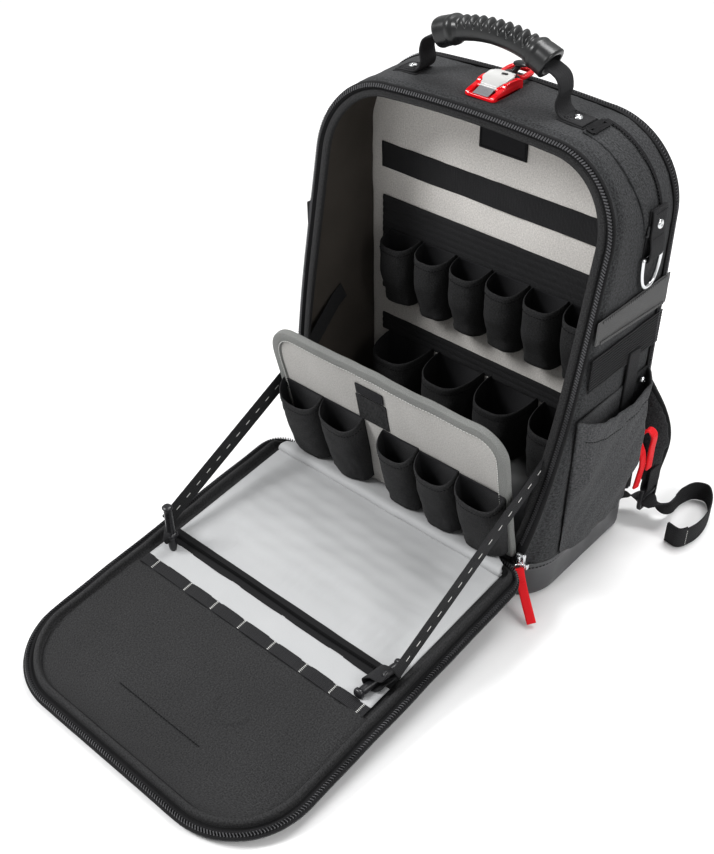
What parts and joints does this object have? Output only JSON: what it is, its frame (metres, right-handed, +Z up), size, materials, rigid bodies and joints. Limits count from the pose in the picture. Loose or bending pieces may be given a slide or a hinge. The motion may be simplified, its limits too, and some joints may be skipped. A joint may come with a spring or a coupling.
{
  "type": "tool backpack",
  "caption": "Upright tool backpack standing open, front panel folded down as a flap, with a pocket board, wall pockets, moulded base, top handle, latch and shoulder straps.",
  "frame": {"origin": "on the floor at the middle of the moulded base", "axes": "+X to the right as seen from the front, +Y to the back where the shoulder straps are, +Z up; the open flap reaches towards -Y"},
  "size_m": [0.4922, 0.663, 0.5188],
  "materials": {
    "charcoal_fabric": "coarse woven polyester",
    "black_fabric": "woven polyester and webbing",
    "silver_grey_fabric": "smooth grey lining",
    "grey_felt": "pressed felt board",
    "band_grey_fabric": "grey webbing band",
    "red_fabric": "red coated tape",
    "base_moulding": "moulded, satin",
    "black_plastic": "satin",
    "grip_plastic": "soft moulded grip",
    "red_plastic": "glossy",
    "white_plastic": "glossy",
    "steel": "bright"
  },
  "bodies": {
    "bag": {"base_tray": "base_moulding", "body_shell": "charcoal_fabric", "rear_shell": "charcoal_fabric", "flap_shell": "charcoal_fabric", "side_pocket_left": "charcoal_fabric", "side_pocket_right": "charcoal_fabric", "back_pad": "black_fabric", "body_zip": "black_fabric", "rear_zip": "black_fabric", "flap_zip": "black_fabric", "flap_lining": "black_fabric", "pocket_zip": "black_fabric", "elastic_loops": "black_fabric", "wall_band": "black_fabric", "pocket_backing": "black_fabric", "ring_strap": "black_fabric", "flap_pocket": "silver_grey_fabric", "grey_strip": "silver_grey_fabric", "tool_board": "grey_felt", "board_binding": "grey_felt", "lining_board": "grey_felt", "board_pocket_1": "black_fabric", "board_pocket_2": "black_fabric", "board_pocket_3": "black_fabric", "board_pocket_4": "black_fabric", "board_pocket_5": "black_fabric", "wall_pocket_1": "black_fabric", "wall_pocket_2": "black_fabric", "wall_pocket_3": "black_fabric", "wall_pocket_4": "black_fabric", "wall_pocket_5": "black_fabric", "wall_pocket_6": "black_fabric", "wall_cup_1": "black_fabric", "wall_cup_2": "black_fabric", "wall_cup_3": "black_fabric", "wall_cup_4": "black_fabric", "handle_grip": "grip_plastic", "latch_frame": "red_plastic", "latch_loop": "red_plastic", "latch_plate": "white_plastic", "zip_slider": "steel", "main_pull": "red_fabric", "rear_pull_upper": "red_fabric", "rear_pull_lower": "red_fabric", "handle_strap_left": "black_fabric", "flap_strap_left": "black_fabric", "shoulder_strap_left": "black_fabric", "strap_webbing_left": "black_fabric", "side_band_left": "band_grey_fabric", "toggle_left": "black_plastic", "ladder_lock_left": "black_plastic", "handle_strap_right": "black_fabric", "flap_strap_right": "black_fabric", "shoulder_strap_right": "black_fabric", "strap_webbing_right": "black_fabric", "side_band_right": "band_grey_fabric", "toggle_right": "black_plastic", "ladder_lock_right": "black_plastic"},
    "ring": {"d_ring": "steel"}
  },
  "joints": [
    {"name": "ring_swing", "type": "hinge", "parent": "bag", "child": "ring", "pos_m": [0.1748, 0.04, 0.352], "axis": [0, -1, 0], "range_deg": [0, 160]}
  ]
}
